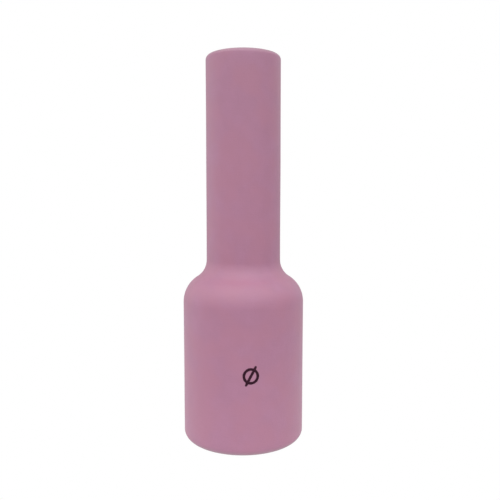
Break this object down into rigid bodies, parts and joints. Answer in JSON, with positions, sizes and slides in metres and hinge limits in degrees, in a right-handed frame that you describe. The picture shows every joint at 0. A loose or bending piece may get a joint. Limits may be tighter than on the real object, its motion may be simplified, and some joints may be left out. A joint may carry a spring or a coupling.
{
  "type": "welding torch gas nozzle",
  "caption": "Long unglazed ceramic gas nozzle for a TIG torch with a gas lens: wide threaded skirt, rounded shoulder, straight barrel and a through gas bore.",
  "frame": {"origin": "centre of the flat rear rim, on the axis", "axes": "+Z along the axis from the threaded rear to the mouth, -Y out through the side that carries the size mark"},
  "size_m": [0.024, 0.024, 0.076],
  "materials": {
    "pink_alumina": "matte, unglazed, fired",
    "black_ceramic_ink": "matte fired ink"
  },
  "bodies": {
    "root": {"ceramic_nozzle": "pink_alumina", "size_mark": "black_ceramic_ink"}
  },
  "joints": []
}
